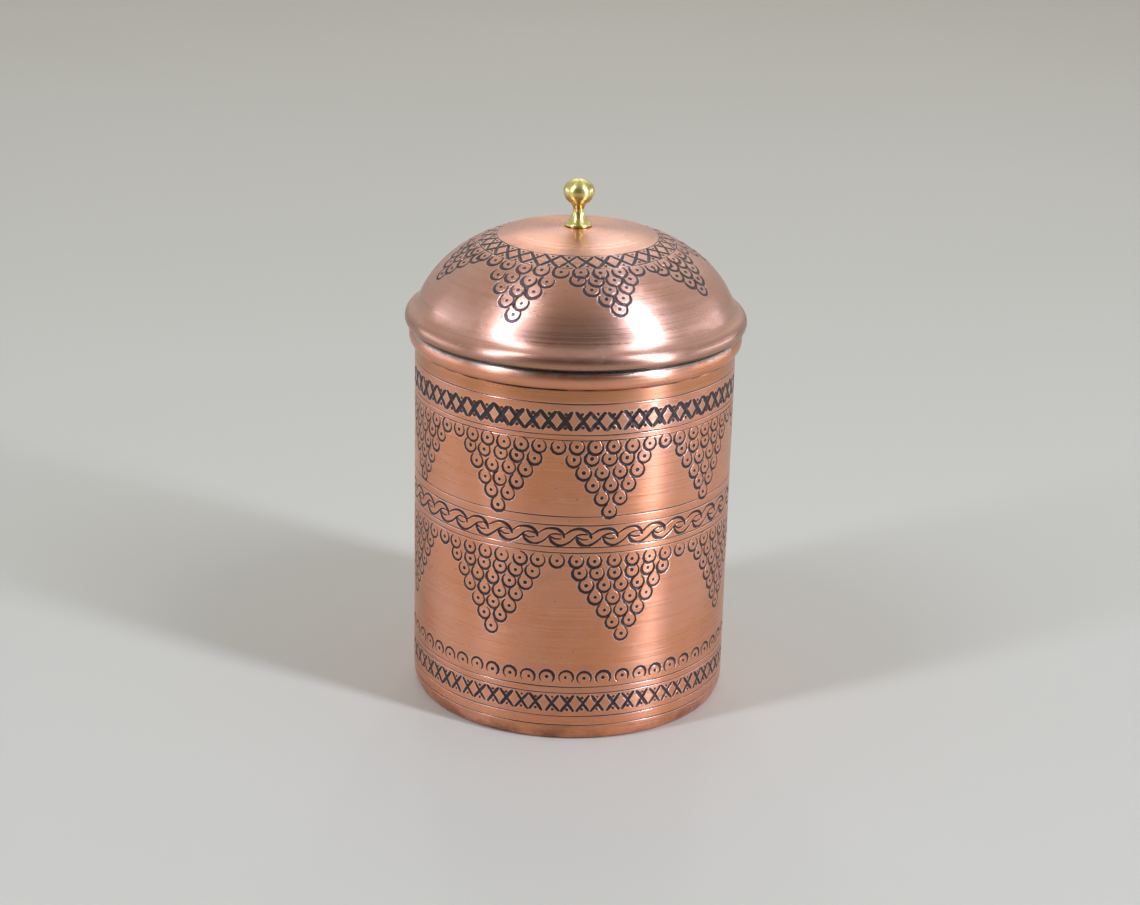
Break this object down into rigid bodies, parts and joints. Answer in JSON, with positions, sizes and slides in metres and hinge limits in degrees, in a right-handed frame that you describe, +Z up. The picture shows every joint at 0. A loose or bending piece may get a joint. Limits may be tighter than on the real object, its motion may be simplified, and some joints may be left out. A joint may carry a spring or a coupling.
{
  "type": "tea caddy",
  "caption": "Round copper canister with a folded mouth bead, and a domed lift-off lid with a rolled brim, a locating collar and a turned brass knob.",
  "frame": {"origin": "centre of the flat base, on the surface the caddy stands on", "axes": "+Z up along the axis of the drum and lid; the body is round, so +X and -Y (the side first seen) are free choices"},
  "size_m": [0.0958, 0.0958, 0.1491],
  "materials": {
    "body_copper": "lathe-brushed engraved copper, dark oxide in the cuts",
    "base_copper": "brushed copper, tinned inside",
    "lid_copper": "lathe-brushed engraved copper, dark oxide in the cuts",
    "tinned_copper": "wiped tin over copper",
    "solder": "dull tin solder",
    "knob_brass": "polished turned brass",
    "fastener_brass": "plain turned brass"
  },
  "bodies": {
    "canister": {"body_drum": "body_copper", "base_pan": "base_copper", "base_solder_seam": "solder"},
    "lid": {"lid_dome": "lid_copper", "lid_collar": "tinned_copper", "collar_solder_seam": "solder", "knob": "knob_brass", "knob_washer": "fastener_brass", "knob_nut": "fastener_brass"}
  },
  "joints": [
    {"name": "lid_lift", "type": "slide", "parent": "canister", "child": "lid", "axis": [0, 0, 1], "range_m": [0, 0.07]}
  ]
}
